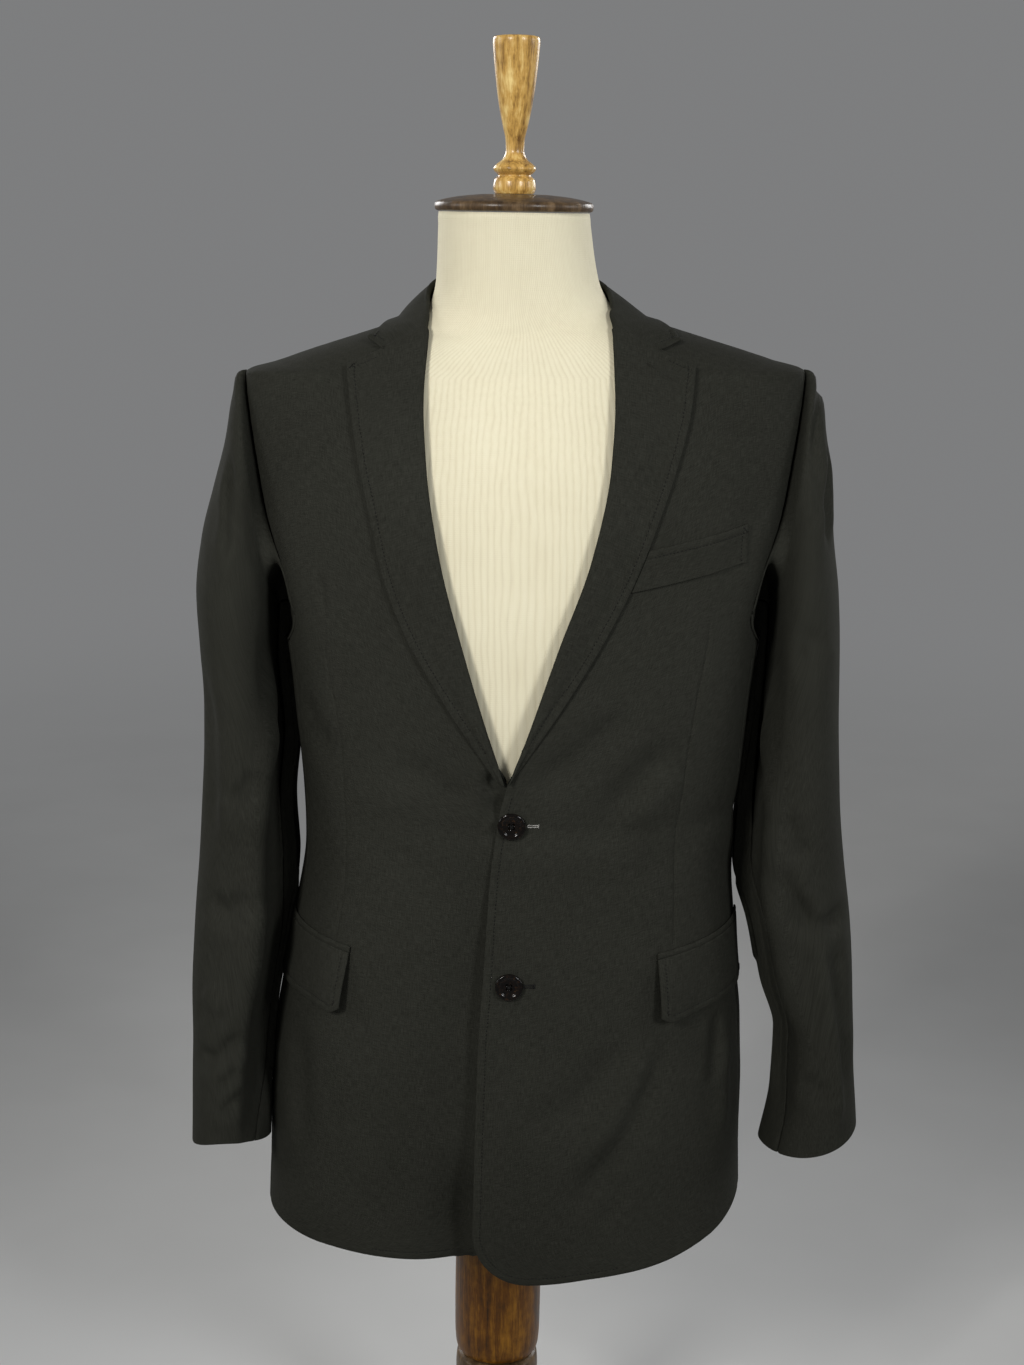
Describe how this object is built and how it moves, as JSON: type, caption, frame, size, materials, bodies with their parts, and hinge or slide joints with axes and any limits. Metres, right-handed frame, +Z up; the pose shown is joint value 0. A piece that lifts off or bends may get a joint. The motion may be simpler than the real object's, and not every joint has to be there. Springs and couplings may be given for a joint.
{
  "type": "single-breasted blazer on a limbless dress form",
  "caption": "Single-breasted notch-lapel blazer, fastened in front, worn on a limbless dress form with a neck cap and finial on a turned wooden stand.",
  "frame": {"origin": "middle of the base's underside, on the axis of the post", "axes": "+Z up, -Y the way the blazer faces, +X the wearer's left"},
  "size_m": [0.5645, 0.31, 1.305],
  "materials": {
    "suiting": "fine plain weave, matte with a slight sheen",
    "jersey": "fine ribbed knit, matte",
    "honey_wood": "satin lacquer",
    "dark_wood": "satin lacquer, stained dark",
    "horn": "gloss"
  },
  "bodies": {
    "root": {"front_left": "suiting", "front_right": "suiting", "side_left": "suiting", "side_right": "suiting", "back_left": "suiting", "back_right": "suiting", "lapel_left": "suiting", "lapel_right": "suiting", "collar": "suiting", "top_sleeve_left": "suiting", "top_sleeve_right": "suiting", "under_sleeve_left": "suiting", "under_sleeve_right": "suiting", "flap_left": "suiting", "flap_right": "suiting", "jet_left": "suiting", "jet_right": "suiting", "breast_welt": "suiting", "button_upper": "horn", "button_lower": "horn", "dress_form": "jersey", "neck_cap": "dark_wood", "finial": "honey_wood", "post": "honey_wood", "post_ring": "dark_wood", "post_lower": "honey_wood", "base": "honey_wood"}
  },
  "joints": []
}
